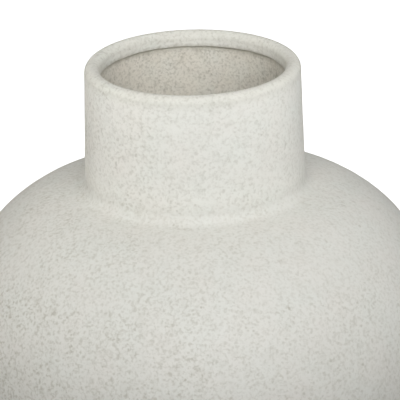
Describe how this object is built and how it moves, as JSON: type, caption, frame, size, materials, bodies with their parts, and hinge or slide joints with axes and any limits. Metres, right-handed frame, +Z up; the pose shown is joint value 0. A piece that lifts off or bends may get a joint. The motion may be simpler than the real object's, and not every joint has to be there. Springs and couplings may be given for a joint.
{
  "type": "stoneware pottery vase",
  "caption": "Round-bellied stoneware vase: short wide neck, thick full-round lip over an inner crease, broad shoulder, low foot ring, matt speckled cream glaze.",
  "frame": {"origin": "centre of the base, on the surface that the pads stand on", "axes": "+Z up along the axis of the pot, through the middle of the mouth; X and Y are level and the pot is round about +Z"},
  "size_m": [0.244, 0.244, 0.255],
  "materials": {
    "matt_glaze": "matt cream glaze with fine grey-olive specks and a sandy surface",
    "liner": "matt, a little darker and rougher than the outside",
    "clay": "bare fired stoneware, fine grog",
    "slip": "fired joining slip, smooth",
    "pad": "soft translucent white, satin"
  },
  "bodies": {
    "root": {"foot_pads": "pad", "foot_ring": "clay", "foot_slip": "slip", "bottom_bowl": "clay", "belly_slip": "slip", "shoulder_dome": "clay", "neck_slip": "slip", "neck_collar": "clay", "neck_coil": "clay", "lip_slip": "slip", "lip_coil": "clay", "outer_glaze": "matt_glaze", "liner_glaze": "liner"}
  },
  "joints": []
}
